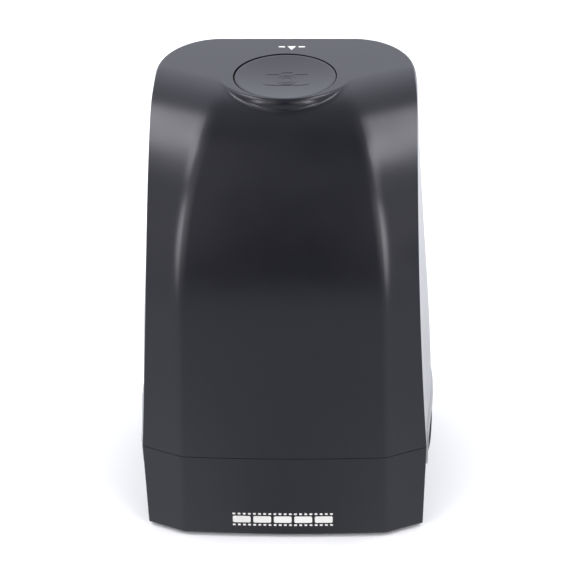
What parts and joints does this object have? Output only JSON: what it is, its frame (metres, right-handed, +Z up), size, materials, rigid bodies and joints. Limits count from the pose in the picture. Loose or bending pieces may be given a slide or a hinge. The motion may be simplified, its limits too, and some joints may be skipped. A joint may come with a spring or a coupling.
{
  "type": "film negative scanner",
  "caption": "Tower-shaped film negative scanner with a faceted dark cover, silver side panels, a through slot for a film holder and a round dished capture button.",
  "frame": {"origin": "on the table under the middle of the base, at the bottom centre of the whole part", "axes": "+Z up, -Y towards the front face, +X to the right of someone who faces the front"},
  "size_m": [0.0884, 0.086, 0.1248],
  "materials": {
    "charcoal_plastic": "fine satin moulded plastic",
    "button_plastic": "smooth satin moulded plastic",
    "silver_panel": "satin silver paint",
    "black_plastic": "matt black moulded plastic",
    "white_plastic": "matt white reflector plastic",
    "opal_acrylic": "opal light diffuser",
    "foot_rubber": "matt rubber",
    "screw_steel": "zinc plated steel",
    "circuit_board": "green solder mask on laminate",
    "chip_epoxy": "moulded epoxy",
    "led_package": "phosphor and white package",
    "lens_glass": "coated optical glass",
    "ribbon_film": "polyimide film"
  },
  "bodies": {
    "housing": {"front_cover": "charcoal_plastic", "base_cover": "charcoal_plastic", "rear_cover": "charcoal_plastic", "side_panel_left": "silver_panel", "side_panel_right": "silver_panel", "bottom_plate": "charcoal_plastic", "foot_front_left": "foot_rubber", "foot_front_right": "foot_rubber", "foot_rear_left": "foot_rubber", "foot_rear_right": "foot_rubber", "base_screw_front_left": "screw_steel", "base_screw_front_right": "screw_steel", "base_screw_rear_left": "screw_steel", "base_screw_rear_right": "screw_steel", "guide_screw_front_left": "screw_steel", "guide_screw_front_right": "screw_steel", "guide_screw_rear_left": "screw_steel", "guide_screw_rear_right": "screw_steel", "film_guide_lower": "black_plastic", "film_guide_upper": "black_plastic", "detent_spring_left": "screw_steel", "detent_spring_right": "screw_steel", "light_box": "white_plastic", "diffuser": "opal_acrylic", "led_board": "circuit_board", "led_1": "led_package", "led_2": "led_package", "led_3": "led_package", "optical_tunnel": "black_plastic", "lens_holder": "black_plastic", "lens_barrel": "black_plastic", "lens_lower": "lens_glass", "lens_upper": "lens_glass", "infrared_filter": "lens_glass", "image_sensor": "chip_epoxy", "sensor_board": "circuit_board", "sensor_ribbon": "ribbon_film", "main_board": "circuit_board", "image_chip": "chip_epoxy", "memory_chip": "chip_epoxy", "usb_socket": "screw_steel", "board_screw_left": "screw_steel", "board_screw_right": "screw_steel", "carrier_screw_left": "screw_steel", "carrier_screw_right": "screw_steel", "button_carrier": "black_plastic", "button_board": "circuit_board", "switch_body": "black_plastic"},
    "button": {"capture_button": "button_plastic"},
    "switch_plunger": {"switch_plunger": "black_plastic"},
    "film_detent_left": {"film_detent_left": "screw_steel"},
    "film_detent_right": {"film_detent_right": "screw_steel"}
  },
  "joints": [
    {"name": "button_press", "type": "slide", "parent": "housing", "child": "button", "axis": [0, 0, -1], "range_m": [0, 0.0008], "stiffness_N_per_m": 1200, "springref_m": -0.0005},
    {"name": "switch_press", "type": "slide", "parent": "housing", "child": "switch_plunger", "axis": [0, 0, -1], "range_m": [0, 0.0008]},
    {"name": "detent_left_press", "type": "slide", "parent": "housing", "child": "film_detent_left", "axis": [0, 0, -1], "range_m": [0, 0.0008], "stiffness_N_per_m": 400, "springref_m": -0.0005, "deforming": ["detent_spring_left"]},
    {"name": "detent_right_press", "type": "slide", "parent": "housing", "child": "film_detent_right", "axis": [0, 0, -1], "range_m": [0, 0.0008], "stiffness_N_per_m": 400, "springref_m": -0.0005, "deforming": ["detent_spring_right"]}
  ],
  "couplings": [
    {"joint": "switch_press", "follows": "button_press", "ratio": 1}
  ]
}
